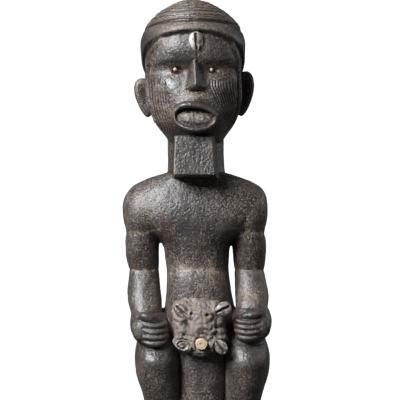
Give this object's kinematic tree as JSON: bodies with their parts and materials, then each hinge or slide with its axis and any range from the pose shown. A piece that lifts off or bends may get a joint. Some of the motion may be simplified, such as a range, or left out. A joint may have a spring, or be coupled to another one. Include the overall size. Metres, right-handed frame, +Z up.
{
  "type": "carved wooden figure",
  "caption": "Standing male figure carved from dark wood, fists on flexed thighs, with a ribbed cap, block beard, belly packet, cowrie shells and eye beads, on a low base.",
  "frame": {"origin": "centre of the flat underside of the base", "axes": "+Z up, the figure faces -Y, and his right side is at -X"},
  "size_m": [0.1484, 0.124, 0.5],
  "materials": {
    "dark_wood": "carved hardwood, near-black satin patina with ochre dust in the grain",
    "hardened_earth": "crusty matt mix of earth and resin, mottled ochre and grey",
    "shell": "worn cowrie shell, grey with soil and white at the edges",
    "bone": "aged ivory-coloured bone or shell, satin"
  },
  "bodies": {
    "root": {"carved_figure": "dark_wood", "belly_packet": "hardened_earth", "forehead_cowrie": "shell", "packet_cowrie_upper_right": "shell", "packet_cowrie_upper_left": "shell", "packet_cowrie_lower_right": "shell", "packet_cowrie_lower_left": "shell", "packet_disc": "bone", "eye_bead_right": "bone", "eye_bead_left": "bone"}
  },
  "joints": []
}
